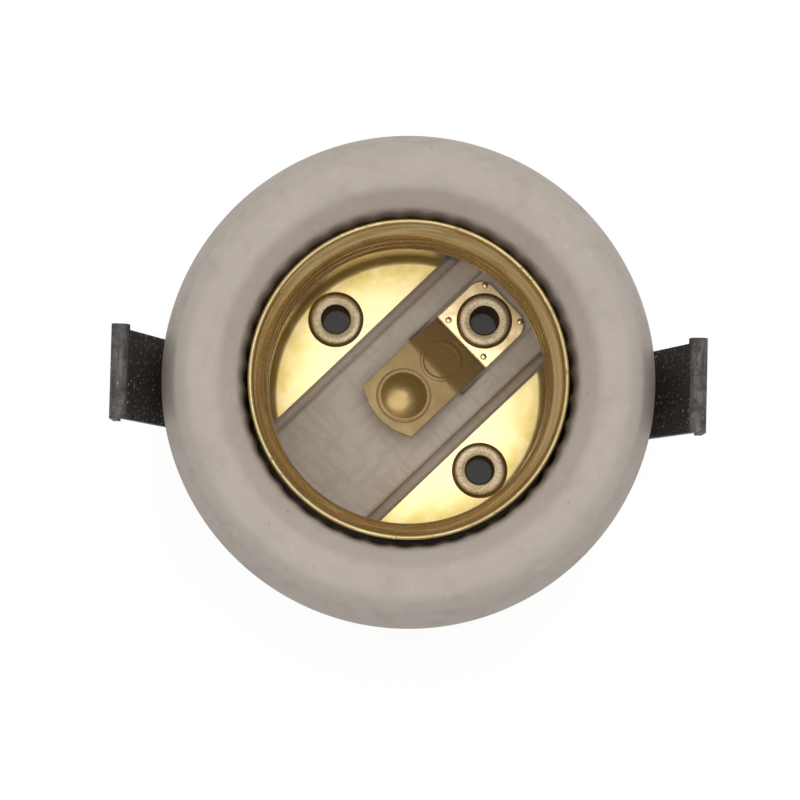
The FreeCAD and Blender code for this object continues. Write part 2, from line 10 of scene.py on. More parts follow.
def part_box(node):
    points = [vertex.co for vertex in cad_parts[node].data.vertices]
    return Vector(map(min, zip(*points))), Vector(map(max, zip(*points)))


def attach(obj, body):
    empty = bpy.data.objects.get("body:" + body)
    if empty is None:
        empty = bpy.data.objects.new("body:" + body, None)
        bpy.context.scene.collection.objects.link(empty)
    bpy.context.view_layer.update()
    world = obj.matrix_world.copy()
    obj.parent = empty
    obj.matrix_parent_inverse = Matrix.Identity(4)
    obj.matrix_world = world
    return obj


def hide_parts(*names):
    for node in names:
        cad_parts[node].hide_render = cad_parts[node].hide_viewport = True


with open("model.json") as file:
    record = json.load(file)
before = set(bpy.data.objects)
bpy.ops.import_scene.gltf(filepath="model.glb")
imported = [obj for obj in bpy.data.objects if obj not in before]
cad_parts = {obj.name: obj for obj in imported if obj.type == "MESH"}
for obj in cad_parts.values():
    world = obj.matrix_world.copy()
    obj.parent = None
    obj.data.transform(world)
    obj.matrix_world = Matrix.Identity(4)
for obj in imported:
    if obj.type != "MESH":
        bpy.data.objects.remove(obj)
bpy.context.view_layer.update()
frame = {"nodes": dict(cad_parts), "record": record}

# Surfaces and fine forms of a porcelain lamp holder for a large Edison screw lamp.
# Metres. The axis of the lamp is Z, the mouth is up, the bracket lies along X.

bl_info = {
    "name": "Porcelain Lamp Holder",
    "version": (1, 0, 0),
    "blender": (4, 5, 0),
    "location": "3D View > Sidebar > Lamp Holder",
    "description": "Finishes a porcelain screw lamp holder and sets its stage",
    "category": "Object",
}

MM = 0.001
RIB_TURN = math.radians(45)
ALONG_RIB = Matrix.Rotation(RIB_TURN, 4, "Z")
QUARTER_TURN = Matrix.Rotation(math.pi / 2, 4, "Z")
FRONT_RIVETS = ("contact_rivet", "shell_rivet_left", "shell_rivet_right")
# Radius at which a turned form without a hole is closed
CENTRE = 0.0002 * MM
# How far a joined or cutting solid goes past the surface that it meets
BITE = 1 * MM
# Gap round a rivet's tube
RIVET_PLAY = 0.05 * MM

# Corners of the porcelain from the back to the bore, in mm: radius, level, rounding
OUTLINE = (
    (17.4, 0.0, 0.0),  # flat of the back
    (18.6, 0.0, 1.0),  # edge of the back
    (19.7, 32.4, 0.6),  # top of the tapered neck
    (20.53, 33.7, 0.5),  # underside of the lip
    (21.43, 34.6, 0.25),  # widest edge
    (20.1, 38.9, 1.3),  # shoulder
    (18.9, 40.0, 1.4),  # outer edge of the face
    (16.4, 40.0, 1.3),  # inner edge of the face
    (14.7, 38.25, 0.5),  # throat
    (13.95, 34.0, 0.0),  # top of the bore
)
# The throat's scalloped edge: its share of a flute's depth, and its place inside the throat
SCALLOP = 0.35
BRINK_INSET = 0.1 * MM
BRINK_DROP = 0.45 * MM
# The bore: flutes down to the top of the plain well, with the mesh rows between
WELL_RADIUS = 13.4 * MM
WELL_TOP = 23.2 * MM
FLUTE_ROWS = (30.0 * MM, 26.5 * MM, WELL_TOP)
WELL_ROW = 18.0 * MM
# A level in the open bore, over the rib
OPEN_LEVEL = 20 * MM
# The floor of the well, from its seat: ledge, rib, the contact's pocket and a rivet's recess
LEDGE_HALF_WIDTH = 6.5 * MM
LEDGE_RISE = 0.4 * MM
RIB_HALF_WIDTH = 5.6 * MM
RIB_RISE = 2.6 * MM
POCKET_START = 3.5 * MM
POCKET_HALF_WIDTH = 3.525 * MM
POCKET_DEPTH = 0.8 * MM
RECESS_RADIUS = 2.85 * MM
RECESS_DEPTH = 1.2 * MM
# The chamber at the back: roof, skirt, strap land, screw tip holes, strap slots, wire notches
EYE_RADIUS = 0.6 * MM
CHAMBER_LEVEL = 9.5 * MM
CHAMBER_ROUNDING = 0.8 * MM
SKIRT_INNER_RADIUS = 15.5 * MM
LAND_HALF_WIDTH = 3.4 * MM
LAND_LEVEL = 6 * MM
LAND_TOP = 10 * MM
SCREW_PLACE = 9.3 * MM
TIP_HOLE_RADIUS = 2.1 * MM
TIP_HOLE_DEPTH = 2.9 * MM
STRAP_PLACE = 14 * MM
STRAP_HALF_LENGTH = 8 * MM
STRAP_HALF_WIDTH = 4.35 * MM
NOTCH_HALF_WIDTH = 3.5 * MM
NOTCH_RISE = 5.0 * MM
NOTCH_ROUNDING = 2.4 * MM
NOTCH_REACH = 23 * MM

# The shell: share of a second wave that rounds the crests, flared rim, thread's end, foot
CREST_BULGE = 0.12
FLARE = 0.12 * MM
FLARE_START = 1.3 * MM
FLARE_END = 0.35 * MM
RUN_OUT_BELOW = 0.6 * MM
RUN_OUT_ABOVE = 1.6 * MM
INNER_BEND = 0.8 * MM
FOOT_EYE = 0.5 * MM
SHELL_ROWS = 104
WINDOW_REACH = 20 * MM

# The centre contact, with places along the rib from the axis
PLATE_TOP = 16.3 * MM
MARK_OFFSET = 2.32 * MM
STRUCK_PLACE = 4.2 * MM
STRUCK_RADIUS = 1.75 * MM
DOME_PLACE = -0.5 * MM
DOME_LEVEL = 19.52 * MM
BEAD_RADIUS = 2.42 * MM
BEAD_THICK = 0.1 * MM
TONGUE_TILT = math.radians(9.0)
# A punch mark, in mm: radius and level over the plate
MARK = ((0.0002, 0.06), (0.12, 0.05), (0.22, 0.025), (0.3, 0.0), (0.3, -0.1), (0.0002, -0.1))

# A hollow rivet: its flange, its rolled end and the flange's land in mm (radius, height)
FLANGE_HEIGHT = 0.55 * MM
ROLLED_HEIGHT = 0.6 * MM
ROLL_MIDDLE = 1.85 * MM
ROLL_RADIUS = 0.55 * MM
LAND = ((2.34, 0.44), (2.18, 0.53), (1.8, 0.54))

# A terminal screw: thread's groove, rounded head and tapered tip
GROOVE = 0.32 * MM
ROWS_IN_TURN = 10
HEAD_EDGE = 0.35 * MM
TIP_HEIGHT = 0.35 * MM
TIP_TAPER = 0.3 * MM
TAPER_LENGTH = 0.5 * MM
TIP_INSET = 0.55 * MM
# Half the length of the solid that cuts the slot, for a head of radius 1
SLOT_REACH = 1.3

# Levels between which the bracket's folded tips turn from black paint to grey steel, a painted
# highlight on the folds
TIP_LEVELS = (38.6 * MM, 39.4 * MM)

# The stage, in metres: half the floor's width, the lamps and the level that they aim at
FLOOR_HALF_WIDTH = 3.0
LAMP_AIM = 0.02
FRONT_LAMP_PLACE = (0.0, 0.03, 0.75)
FRONT_LAMP_SIZE = 0.62
KEY_LAMP_PLACE = (0.16, 0.60, 0.60)
KEY_LAMP_SIZE = 0.35
SKY_COLOUR = (1.0, 0.98, 0.96, 1.0)
# The floor's own white, its share over the lit floor and the radii of the dark floor's edge
GLOW = 1.15
GLOW_SHARE = 0.75
DARK_RADIUS = 15.0 * MM
PALE_RADIUS = 18.0 * MM


def length(name, description, default):
    return FloatProperty(
        name=name, description=description, default=default * MM, unit="LENGTH", precision=5
    )


def colour(name, description, default):
    return FloatVectorProperty(
        name=name, description=description, default=default, subtype="COLOR", min=0.0, max=1.0
    )


class LampHolderSizes(bpy.types.PropertyGroup):
    """Sizes of the fine forms, taken where they meet the fixed model."""

    flute_reach: length("Flute reach", "Radius of the bore at the floor of a flute", 14.35)
    cusp_radius: length("Cusp radius", "Radius of the bore between two flutes", 14.03)
    flute_count: IntProperty(
        name="Flutes", description="Flutes round the bore", default=40, min=8
    )
    brass_thick: length("Brass thickness", "Thickness of the drawn shell", 0.4)
    thread_pitch: length("Lamp thread pitch", "Rise of the lamp thread in one turn", 3.629)
    crest_radius: length("Crest radius", "Inside radius of the shell at a crest", 12.2)
    root_radius: length("Root radius", "Inside radius of the shell between crests", 13.28)
    mouth_level: length("Mouth level", "Height of the shell's rim", 38.0)
    thread_low: length("Thread end", "Height about which the lamp thread runs out", 23.6)
    seat_level: length("Seat level", "Height of the porcelain under the shell's feet", 14.0)
    leg_radius: length("Leg radius", "Inside radius of the shell's legs", 12.7)
    foot_bend: length("Foot bend", "Outer radius between a leg and its foot", 1.0)
    window_half_width: length("Window half width", "Half the gap between the shell's legs", 6.7)
    window_top: length("Window top", "Height of the gap between the shell's legs", 23.5)
    window_corner: length("Window corner", "Radius of the gap's upper corners", 2.0)
    flange_radius: length("Rivet flange radius", "Radius of a hollow rivet's flange", 2.55)
    rivet_bore: length("Rivet bore", "Radius of the hole in a hollow rivet", 1.25)
    rivet_tube: length("Rivet tube", "Outside radius of a hollow rivet's tube", 1.75)
    screw_radius: length("Screw radius", "Outside radius of a terminal screw's thread", 1.75)
    screw_pitch: length("Screw pitch", "Rise of a terminal screw's thread in one turn", 0.6)
    head_radius: length("Head radius", "Radius of a terminal screw's head", 3.0)
    head_height: length("Head height", "Height of a terminal screw's head", 2.4)
    slot_half_width: length("Slot half width", "Half the width of a screw's slot", 0.4)
    slot_depth: length("Slot depth", "Depth of a screw's slot", 1.1)
    turn_steps: IntProperty(
        name="Steps in a turn", description="Mesh columns round the axis", default=240, min=24
    )


class LampHolderColours(bpy.types.PropertyGroup):
    """Base colours of the surfaces."""

    porcelain: colour("Porcelain", "Fired clay, unglazed", (0.560, 0.497, 0.437))
    porcelain_shade: colour("Porcelain shade", "Darker mottling", (0.420, 0.368, 0.318))
    porcelain_pale: colour("Porcelain pale", "Lighter mottling", (0.690, 0.630, 0.560))
    # Painted light: the bore is drawn in this paler colour, standing in for light that reaches
    # down the well
    porcelain_lit_bore: colour("Porcelain rib", "Cleaner clay in the bore", (0.730, 0.650, 0.550))
    speck: colour("Speck", "Iron specks in the clay", (0.070, 0.060, 0.052))
    brass: colour("Brass", "Drawn brass of the shell", (0.850, 0.700, 0.380))
    # On the feet towards the wall this gold is painted shade, broken into patches
    brass_gold: colour("Brass gold", "Filmed brass near the wall", (0.660, 0.520, 0.170))
    brass_wall: colour("Brass wall", "Filmed brass of the shell's wall", (0.600, 0.410, 0.165))
    brass_rim: colour("Brass rim", "Rubbed brass of the shell's rim", (0.560, 0.480, 0.240))
    brass_dark: colour("Tarnish", "Brown film on the brass", (0.360, 0.205, 0.070))
    spring: colour("Spring brass", "Rolled brass of the centre contact", (0.680, 0.540, 0.310))
    # The tongue's darker colour is painted shade, for the darker surroundings that its tilted face
    # reflects
    tongue: colour("Tongue brass", "Filmed brass of the sprung tongue", (0.375, 0.260, 0.100))
    rivet: colour("Rivet brass", "Pressed brass of the rivets", (0.800, 0.670, 0.450))
    # On a rivet's edge and inside this colour is painted shade; on the flange's flat it mottles
    # the film
    rivet_film_and_shade: colour("Rivet shade", "Film on a rivet's edges", (0.330, 0.230, 0.110))
    paint: colour("Paint", "Black paint on the bracket", (0.029, 0.0260, 0.0245))
    paint_speck: colour("Paint speck", "Pale dust in the paint", (0.560, 0.560, 0.560))
    # On the bracket's folded tips this grey is a painted highlight; elsewhere it shows where the
    # paint is worn
    steel: colour("Steel", "Bare steel where the paint is rubbed", (0.330, 0.318, 0.305))
    zinc: colour("Zinc", "Zinc plate on screws and washers", (0.640, 0.640, 0.620))
    floor: colour("Floor", "Backdrop under the object", (0.905, 0.905, 0.905))


class LampHolderStage(bpy.types.PropertyGroup):
    """Camera, strength of the lamps and the surroundings."""

    distance: length("Camera distance", "From the camera to the mouth's plane", 313.0)
    lens: FloatProperty(name="Lens", description="Focal length in mm", default=164.4, min=1.0)
    tilt: FloatProperty(
        name="Tilt",
        description="Angle between the line of sight and the axis",
        default=math.radians(3.24),
        subtype="ANGLE",
    )
    roll: FloatProperty(
        name="Roll",
        description="Turn of the camera about its line of sight",
        default=math.radians(1.42),
        subtype="ANGLE",
    )
    aim_x: length("Aim X", "Where the line of sight meets the mouth's plane", -0.69)
    aim_y: length("Aim Y", "Where the line of sight meets the mouth's plane", -1.82)
    aim_level: length("Aim level", "Height of the plane that the camera is aimed at", 38.0)
    key: FloatProperty(name="Key lamp", description="Power in watts", default=0.9, min=0.0)
    fill: FloatProperty(name="Front lamp", description="Power in watts", default=2.15, min=0.0)
    sky: FloatProperty(name="Sky", description="Strength of the surroundings", default=0.40)


# Shader building


class Level:
    """A shader socket that carries a number, so that shader maths reads as arithmetic."""

    def __init__(self, recipe, socket):
        self.recipe = recipe
        self.socket = socket

    def _with(self, operation, *others, clamp=False):
        values = {index: value for index, value in enumerate((self, *others))}
        made = self.recipe.node(
            "ShaderNodeMath", {"operation": operation, "use_clamp": clamp}, values
        )
        return Level(self.recipe, made.outputs[0])

    def _into(self, operation, other):
        made = self.recipe.node("ShaderNodeMath", {"operation": operation}, {0: other, 1: self})
        return Level(self.recipe, made.outputs[0])

    def __add__(self, other):
        return self._with("ADD", other)

    def __radd__(self, other):
        return self._into("ADD", other)

    def __sub__(self, other):
        return self._with("SUBTRACT", other)

    def __rsub__(self, other):
        return self._into("SUBTRACT", other)

    def __mul__(self, other):
        return self._with("MULTIPLY", other)

    def __rmul__(self, other):
        return self._into("MULTIPLY", other)

    def __truediv__(self, other):
        return self._with("DIVIDE", other)

    def __rtruediv__(self, other):
        return self._into("DIVIDE", other)

    def __pow__(self, other):
        return self._with("POWER", other)

    def __rpow__(self, other):
        return self._into("POWER", other)

    def __abs__(self):
        return self._with("ABSOLUTE")

    def most(self, other):
        return self._with("MAXIMUM", other)

    def root(self):
        return self._with("SQRT")

    def angle_to(self, other):
        return self._with("ARCTAN2", other)

    def held(self):
        """Kept between 0 and 1."""
        return self._with("ADD", 0.0, clamp=True)

    def ramp(self, low, high, start=0.0, end=1.0):
        """Goes smoothly from start to end as the value goes from low to high."""
        made = self.recipe.node(
            "ShaderNodeMapRange",
            {"interpolation_type": "SMOOTHSTEP"},
            {"Value": self, "From Min": low, "From Max": high, "To Min": start, "To Max": end},
        )
        return Level(self.recipe, made.outputs["Result"])


class Recipe:
    """One material, made of nodes."""

    def __init__(self, name):
        self.material = bpy.data.materials.new(name)
        self.material.use_nodes = True
        self.tree = self.material.node_tree
        self.tree.nodes.clear()
        self.place = self.node("ShaderNodeTexCoord", {}, {}).outputs["Object"]
        self.x, self.y, self.z = self.parts(self.place)

    def node(self, kind, settings, inputs):
        made = self.tree.nodes.new(kind)
        for setting, value in settings.items():
            setattr(made, setting, value)
        for spot, value in inputs.items():
            if isinstance(value, Level):
                value = value.socket
            if isinstance(value, bpy.types.NodeSocket):
                self.tree.links.new(value, made.inputs[spot])
            else:
                made.inputs[spot].default_value = value
        return made

    def parts(self, vector):
        """The three numbers of a vector."""
        apart = self.node("ShaderNodeSeparateXYZ", {}, {0: vector})
        return [Level(self, socket) for socket in apart.outputs]

    def radius(self):
        """Distance from the axis."""
        return (self.x * self.x + self.y * self.y).root()

    def on_rib(self):
        """Places along the rib and across it."""
        c, s = math.cos(RIB_TURN), math.sin(RIB_TURN)
        return self.x * c + self.y * s, self.y * c - self.x * s

    def vector(self, across, along, up):
        made = self.node("ShaderNodeCombineXYZ", {}, {0: across, 1: along, 2: up})
        return made.outputs[0]

    def scaled(self, vector, scale):
        made = self.node("ShaderNodeVectorMath", {"operation": "MULTIPLY"}, {0: vector, 1: scale})
        return made.outputs[0]

    def noise(self, scale, detail=2.0, roughness=0.5, vector=None):
        made = self.node(
            "ShaderNodeTexNoise",
            {"noise_dimensions": "3D"},
            {
                "Vector": vector or self.place,
                "Scale": scale,
                "Detail": detail,
                "Roughness": roughness,
            },
        )
        return Level(self, made.outputs["Fac"])

    def specks(self, scale, size, share):
        """Round specks, one in so many cells, each of its own size."""
        made = self.node(
            "ShaderNodeTexVoronoi",
            {"feature": "F1"},
            {"Vector": self.place, "Scale": scale, "Randomness": 1.0},
        )
        tint = self.node("ShaderNodeSeparateColor", {}, {0: made.outputs["Color"]})
        near = Level(self, made.outputs["Distance"])
        luck = Level(self, tint.outputs[0])
        kept = luck.ramp(1.0 - share, 1.0 - share + 0.01)
        reach = Level(self, tint.outputs[1]) * size * 0.7 + size * 0.3
        return (1.0 - (near / reach).ramp(0.6, 1.0)) * kept

    def mix(self, share, *colours):
        """The first colour turned into the second one by a share."""
        first, second = (
            given if isinstance(given, bpy.types.NodeSocket) else (*given, 1.0)
            for given in colours
        )
        made = self.node("ShaderNodeMix", {"data_type": "RGBA"}, {0: share, 6: first, 7: second})
        return made.outputs[2]

    def bump(self, height, depth, strength=1.0, normal=None):
        inputs = {"Height": height, "Distance": depth, "Strength": strength}
        if normal is not None:
            inputs["Normal"] = normal
        return self.node("ShaderNodeBump", {}, inputs).outputs[0]

    def soft_edges(self, radius):
        made = self.node("ShaderNodeBevel", {"samples": 6}, {"Radius": radius})
        return made.outputs[0]

    def surface(self, **inputs):
        named = {name.replace("_", " "): value for name, value in inputs.items()}
        shader = self.node("ShaderNodeBsdfPrincipled", {}, named)
        self.node("ShaderNodeOutputMaterial", {}, {"Surface": shader.outputs[0]})
        return self.material


def porcelain_material(colours, seat):
    """Unglazed porcelain: warm grey, mottled, with a few iron specks and a fine tooth."""
    made = Recipe("fired_porcelain")
    cloud = made.noise(150.0, 4.0, 0.6)
    blotch = made.noise(560.0, 4.0, 0.62)
    grain = made.noise(5200.0, 3.0, 0.65)
    shade = (cloud.ramp(0.35, 0.7) * 0.2 + blotch.ramp(0.48, 0.72) * 0.28).held()
    tone = made.mix(shade, colours.porcelain, colours.porcelain_shade)
    pale = made.noise(830.0, 3.0, 0.6).ramp(0.58, 0.76) * 0.35
    tone = made.mix(pale, tone, colours.porcelain_pale)
    fine = made.specks(1300.0, 0.24, 0.05) * 0.3
    tone = made.mix(fine, tone, colours.speck)

    # The rib keeps the cross-hatched marks of its mould
    along, across = made.on_rib()
    in_bore = 1.0 - made.radius().ramp(WELL_RADIUS - 0.4 * MM, WELL_RADIUS - 0.2 * MM)
    over_rib = made.z.ramp(seat + RIB_RISE + 0.4 * MM, seat + RIB_RISE + 0.8 * MM)
    on_rib = in_bore * (1.0 - over_rib) * made.z.ramp(seat - 0.2 * MM, seat + 0.2 * MM)
    lengthwise = made.noise(1900.0, 2.0, 0.6, made.vector(along * 0.14, across, made.z))
    crosswise = made.noise(1900.0, 2.0, 0.6, made.vector(along, across * 0.14, made.z))
    hatch = lengthwise.ramp(0.52, 0.62).most(crosswise.ramp(0.52, 0.62)) * on_rib
    # Painted light: the bore, its rib and its floor are turned towards a paler colour where the
    # shell shades them
    tone = made.mix(in_bore * 0.9, tone, colours.porcelain_lit_bore)
    tone = made.mix(hatch * 0.22, tone, colours.porcelain_shade)
    edges = made.soft_edges(0.7 * MM)
    tooth = made.bump(grain, 0.02 * MM, 0.5, edges)
    waves = made.bump(made.noise(900.0, 2.0), 0.05 * MM, 0.35, tooth)
    marked = made.bump(hatch, 0.03 * MM, 0.5, waves)
    return made.surface(
        Base_Color=tone,
        Roughness=blotch.ramp(0.3, 0.8, 0.55, 0.72),
        IOR=1.5,
        Specular_IOR_Level=0.35,
        Normal=marked,
    )


def shell_material(colours, size):
    """Drawn brass: bright feet, a filmed wall with painted glint lines, a worn rim and painted
    shade on the feet by the wall.
    """
    made = Recipe("drawn_brass")
    leg, seat, mouth = size.leg_radius, size.seat_level, size.mouth_level
    radius = made.radius()
    angle = made.y.angle_to(made.x)
    rolled = made.vector(angle * 0.004, radius * 3.0, made.z * 3.0)
    lines = made.noise(2600.0, 3.0, 0.6, rolled)
    level_lines = made.vector(made.x * 0.03, made.y * 0.03 + radius, made.z)
    glint_lines = made.noise(6000.0, 1.0, 0.5, level_lines).ramp(0.5, 0.58)
    film = made.noise(420.0, 4.0, 0.62)
    wall = made.z.ramp(seat + 1.2 * MM, seat + 3.0 * MM)
    warm = made.mix(wall, colours.brass, colours.brass_wall)
    # Painted shade: the feet darken in the corner where they bend up into the wall
    corner = radius.ramp(leg - 2.1 * MM, leg - 0.1 * MM) * (1.0 - wall)
    # Painted shade: the feet turn a deeper gold towards the wall, in patches, where the bend
    # reflects less light
    golden = radius.ramp(leg - 3.9 * MM, leg - 1.1 * MM) * (1.0 - wall)
    gold = golden * film.ramp(0.3, 0.7, 0.3, 1.0)
    warm = made.mix(gold, warm, colours.brass_gold)
    # Random brown film on feet and wall, with the painted shade of the corner added
    tarnish_and_corner_shade = (film.ramp(0.42, 0.72) * (0.06 + wall * 0.19) + corner * 0.2).held()
    tone = made.mix(tarnish_and_corner_shade, warm, colours.brass_dark)
    # Painted glints: thin lines of bright brass across the wall, standing in for light caught on
    # the thread's crests
    tone = made.mix(glint_lines * wall * 0.55, tone, colours.brass)
    rim = made.z.ramp(mouth - 0.5 * MM, mouth - 0.25 * MM)
    tone = made.mix(rim * 0.5, tone, colours.brass_rim)
    nicked = made.noise(1500.0, 2.0).ramp(0.6, 0.75) * rim
    scratches = made.bump(lines * wall, 0.012 * MM, 0.5)
    dents = made.bump(made.noise(500.0, 2.0), 0.03 * MM, 0.3, scratches)
    worn = made.bump(nicked, 0.06 * MM, 0.8, dents)
    return made.surface(
        Base_Color=tone,
        Metallic=1.0 - wall * 0.25 - corner * 0.35,
        Roughness=0.36 - wall * lines.ramp(0.3, 0.7, 0.14, 0.02) + rim * 0.1,
        Normal=worn,
    )


def contact_material(colours):
    """Rolled spring brass: a tongue darkened by painted shade and mottled with film, a ring struck
    in the slope and a glossy dome.
    """
    made = Recipe("spring_brass")
    along, across = made.on_rib()
    grained = made.vector(along * 0.12, across, made.z * 0.12)
    grain = made.noise(7000.0, 2.0, 0.6, grained)
    film = made.noise(520.0, 4.0, 0.6)
    raised = made.z.ramp(PLATE_TOP + 0.02 * MM, PLATE_TOP + 0.3 * MM)
    plate = made.mix((film.ramp(0.4, 0.75) * 0.35).held(), colours.spring, colours.brass_dark)
    # Painted shade: the raised tongue takes a darker colour for what its tilted face reflects,
    # mottled with film
    tongue = made.mix((film.ramp(0.4, 0.75) * 0.3).held(), colours.tongue, colours.brass_dark)
    tone = made.mix(raised, plate, tongue)

    def away(place):
        return ((along - place) ** 2.0 + across ** 2.0).root()

    off_ring = abs(away(STRUCK_PLACE) - STRUCK_RADIUS)
    struck = 1.0 - off_ring.ramp(0.07 * MM, 0.24 * MM)
    dome = (1.0 - away(DOME_PLACE).ramp(1.9 * MM, 2.2 * MM)) * raised
    edges = made.soft_edges(0.12 * MM)
    pressed = made.bump(struck, 0.07 * MM, 1.0, edges)
    brushed = made.bump(grain, 0.010 * MM, 0.5, pressed)
    uneven = made.bump(made.noise(420.0, 2.0), 0.08 * MM, 0.5, brushed)
    return made.surface(
        Base_Color=tone,
        Metallic=1.0 - raised * 0.7 + dome * 0.3,
        Roughness=film.ramp(0.3, 0.7, 0.22, 0.34) + raised * 0.04 - dome * 0.06,
        Normal=uneven,
    )


def rivet_material(colours):
    """Pressed brass: frosted and mottled on the flat of the flange, in painted shade on its edge
    and inside.
    """
    made = Recipe("rivet_brass")
    frost = made.noise(7000.0, 3.0, 0.75)
    film = made.noise(900.0, 3.0, 0.6)
    facing = made.node("ShaderNodeNewGeometry", {}, {})
    flat = made.parts(facing.outputs["Normal"])[2].ramp(0.76, 0.9)
    mottle = (frost.ramp(0.42, 0.6) * 0.55 + film.ramp(0.4, 0.75) * 0.25).held()
    tone = made.mix(mottle, colours.rivet, colours.rivet_film_and_shade)
    # Painted shade: every face that does not look up, the rolled edge and the bowl, takes the
    # darker colour
    tone = made.mix(flat, colours.rivet_film_and_shade, tone)
    rough = made.bump(frost, 0.03 * MM, 0.7)
    return made.surface(
        Base_Color=tone, Metallic=0.75, Roughness=flat.ramp(0.0, 1.0, 0.5, 0.42), Normal=rough
    )


def terminal_material(colours):
    """Stamped brass plate, a little dull."""
    made = Recipe("terminal_brass")
    grain = made.noise(6000.0, 2.0, 0.6, made.scaled(made.place, (0.15, 1.0, 1.0)))
    film = made.noise(500.0, 4.0, 0.6)
    tone = made.mix((film.ramp(0.35, 0.75) * 0.5).held(), colours.brass, colours.brass_dark)
    brushed = made.bump(grain, 0.012 * MM, 0.5, made.soft_edges(0.12 * MM))
    return made.surface(Base_Color=tone, Metallic=1.0, Roughness=0.36, Normal=brushed)


def zinc_material(colours, name, roughness):
    """Plated steel with a faint crystal bloom."""
    made = Recipe(name)
    bloom = made.noise(1400.0, 4.0, 0.6)
    tone = made.mix((bloom.ramp(0.4, 0.75) * 0.5).held(), colours.zinc, colours.steel)
    rough = made.bump(made.noise(6000.0, 2.0), 0.012 * MM, 0.5, made.soft_edges(0.1 * MM))
    return made.surface(
        Base_Color=tone,
        Metallic=1.0,
        Roughness=bloom.ramp(0.3, 0.7, roughness - 0.06, roughness + 0.08),
        Normal=rough,
    )


def bracket_material(colours):
    """Black paint with pale specks and patches worn to steel, with a painted highlight of streaked
    grey steel on the folded tips.
    """
    made = Recipe("black_paint")
    streaked = made.vector(made.x, made.y * 0.06, made.z)
    streaks = made.noise(5200.0, 4.0, 0.65, streaked)
    patches = made.noise(900.0, 4.0, 0.6)
    specks = made.specks(1900.0, 0.26, 0.75).most(made.specks(3200.0, 0.3, 0.75) * 0.8)
    # Painted highlight: the folded tips turn to streaked grey steel, standing in for light on the
    # bends; the scattered patches are worn paint
    tip = made.z.ramp(*TIP_LEVELS)
    tip_sheen = (tip * (0.1 + streaks.ramp(0.3, 0.7) * 0.5 * patches.ramp(0.3, 0.6))).held()
    worn = (streaks.ramp(0.58, 0.78) * patches.ramp(0.5, 0.75) * 0.25).held()
    sheen_and_wear = tip_sheen.most(worn)
    tone = made.mix(sheen_and_wear, colours.paint, colours.steel)
    tone = made.mix(specks * (1.0 - tip * 0.7), tone, colours.paint_speck)
    skin = made.bump(made.noise(3800.0, 3.0, 0.6), 0.03 * MM, 0.5, made.soft_edges(0.18 * MM))
    dust = made.bump(specks, 0.03 * MM, 0.6, skin)
    return made.surface(
        Base_Color=tone,
        Metallic=(sheen_and_wear * 0.5).held(),
        Roughness=streaks.ramp(0.3, 0.7, 0.5, 0.62),
        Specular_IOR_Level=0.25,
        Normal=dust,
    )


# Mesh building


def soften(thing, degrees=30.0):
    """Smooth faces with the corners kept sharp, by modifiers alone."""
    for polygon in thing.data.polygons:
        polygon.use_smooth = True
    weld = thing.modifiers.new("weld", "WELD")
    weld.merge_threshold = 0.002 * MM
    split = thing.modifiers.new("edge_split", "EDGE_SPLIT")
    split.split_angle = math.radians(degrees)
    split.use_edge_sharp = False


def paint(thing, material):
    thing.data.materials.clear()
    thing.data.materials.append(material)
    for polygon in thing.data.polygons:
        polygon.material_index = 0


def linked(name, shape):
    """Makes a shape into an object of the scene."""
    mesh = bpy.data.meshes.new(name)
    shape.to_mesh(mesh)
    shape.free()
    thing = bpy.data.objects.new(name, mesh)
    bpy.context.scene.collection.objects.link(thing)
    return thing


def put(name, shape, material, body, slot, *replaced):
    """Adds a mesh to the scene as a piece that rides on a body and stands for a node."""
    thing = linked(name, shape)
    paint(thing, material)
    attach(thing, body)
    if replaced:
        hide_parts(*replaced)
    return thing


def skin(shape, pairs):
    """Faces between each pair of rows of points, every row a closed ring."""
    for upper, lower in pairs:
        for step in range(len(upper)):
            after = (step + 1) % len(upper)
            shape.faces.new((upper[step], upper[after], lower[after], lower[step]))
    bmesh.ops.recalc_face_normals(shape, faces=shape.faces)


def swept(rings, steps):
    """A closed skin through rows of points; each row is a function of the angle."""
    shape = bmesh.new()
    rows = []
    for ring in rings:
        row = []
        for step in range(steps):
            angle = 2 * math.pi * step / steps
            radius, level = ring(angle)
            row.append(
                shape.verts.new((radius * math.cos(angle), radius * math.sin(angle), level))
            )
        rows.append(row)
    skin(shape, zip(rows, rows[1:] + rows[:1]))
    return shape


def fixed(radius, level):
    """A row that is a plain circle."""
    return lambda angle: (radius, level)


def circles(points):
    return [fixed(*point) for point in points]


def arc(centre_radius, centre_level, radius, start, end, count):
    """Points of an arc in the plane of the axis, from start to end in degrees."""
    points = []
    for index in range(count + 1):
        turn = math.radians(start + (end - start) * index / count)
        points.append(
            (centre_radius + radius * math.cos(turn), centre_level + radius * math.sin(turn))
        )
    return points


def smooth(value, low, high):
    share = min(1.0, max(0.0, (value - low) / (high - low)))
    return share * share * (3 - 2 * share)


def rounded(corners, steps=5):
    """Points (radius, level) along a line whose corners (radius, level, rounding) are arcs."""
    points = []
    for index, (across, up, rounding) in enumerate(corners):
        here = Vector((across, up))
        if rounding == 0 or index in (0, len(corners) - 1):
            points.append((across, up))
            continue
        back = (Vector(corners[index - 1][:2]) - here).normalized()
        ahead = (Vector(corners[index + 1][:2]) - here).normalized()
        half = back.angle(ahead) / 2
        reach = rounding / math.tan(half)
        start, end = here + back * reach, here + ahead * reach
        middle = here + (back + ahead).normalized() * (rounding / math.sin(half))
        first, last = start - middle, end - middle
        begin = math.atan2(first.y, first.x)
        sweep = (math.atan2(last.y, last.x) - begin + math.pi) % (2 * math.pi) - math.pi
        for step in range(steps + 1):
            turn = begin + sweep * step / steps
            points.append(
                (middle.x + rounding * math.cos(turn), middle.y + rounding * math.sin(turn))
            )
    return points


